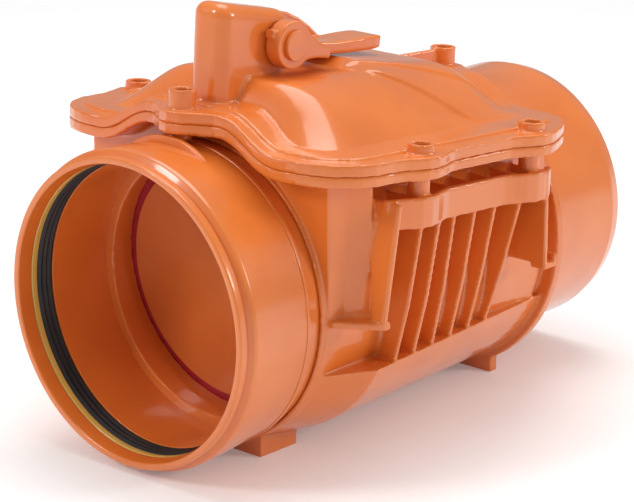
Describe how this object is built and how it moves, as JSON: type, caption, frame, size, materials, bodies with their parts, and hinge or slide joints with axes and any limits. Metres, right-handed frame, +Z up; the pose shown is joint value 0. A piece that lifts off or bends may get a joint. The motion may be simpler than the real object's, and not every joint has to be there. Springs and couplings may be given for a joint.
{
  "type": "backwater valve",
  "caption": "Backwater valve for drain pipes: orange body with inlet socket, outlet spigot, domed cover, hinged flap and a hand lever that locks it.",
  "frame": {"origin": "pipe stop at the bottom of the inlet socket, on the pipe axis", "axes": "+X downstream along the pipe axis, from inlet socket to outlet spigot; +Z up through the cover; +Y to the left when looking downstream"},
  "size_m": [0.345, 0.2378, 0.2484],
  "materials": {
    "body_plastic": "smooth orange moulded plastic, soft gloss",
    "flap_plastic": "same moulded plastic, inside the valve",
    "lever_plastic": "same moulded plastic, slightly darker",
    "ring_plastic": "tan hard plastic ring",
    "black_rubber": "smooth black rubber",
    "red_rubber": "smooth red rubber",
    "screw_steel": "bright stainless screws and washers",
    "pin_steel": "drawn stainless bar",
    "clip_steel": "dark spring steel",
    "bush_plastic": "natural white plain-bearing plastic",
    "guide_plastic": "dark grey slide plastic",
    "bolt_steel": "flat stainless strip"
  },
  "bodies": {
    "housing": {"inlet_socket": "body_plastic", "inlet_lip_seal": "black_rubber", "seal_retaining_ring": "ring_plastic", "valve_body": "body_plastic", "outlet_spigot": "body_plastic", "cover": "body_plastic", "cover_gasket": "black_rubber", "cover_screws": "screw_steel", "screw_washers": "screw_steel", "hinge_pin": "pin_steel", "pin_clips": "clip_steel", "bolt_guide": "guide_plastic"},
    "flap": {"flap_disc": "flap_plastic", "flap_seal": "red_rubber", "flap_clamp_plate": "flap_plastic", "flap_screws": "screw_steel", "flap_bushes": "bush_plastic"},
    "lock_lever": {"lever": "lever_plastic", "crank_near": "pin_steel", "crank_far": "pin_steel", "shaft_seals": "black_rubber", "lever_caps": "lever_plastic"},
    "lock_bolt": {"locking_bolt": "bolt_steel"}
  },
  "joints": [
    {"name": "flap_hinge", "type": "hinge", "parent": "housing", "child": "flap", "pos_m": [0.0215, 0, 0.097], "axis": [0, -1, 0], "range_deg": [0, 70]},
    {"name": "lever_turn", "type": "hinge", "parent": "housing", "child": "lock_lever", "pos_m": [0.04595, 0, 0.13307], "axis": [0, -1, 0], "range_deg": [0, 90]},
    {"name": "bolt_slide", "type": "slide", "parent": "housing", "child": "lock_bolt", "axis": [-0.0663, 0, -0.9978], "range_m": [0, 0.01415]}
  ],
  "couplings": [
    {"joint": "bolt_slide", "follows": "lever_turn", "m_per_rad": 0.0090032}
  ]
}
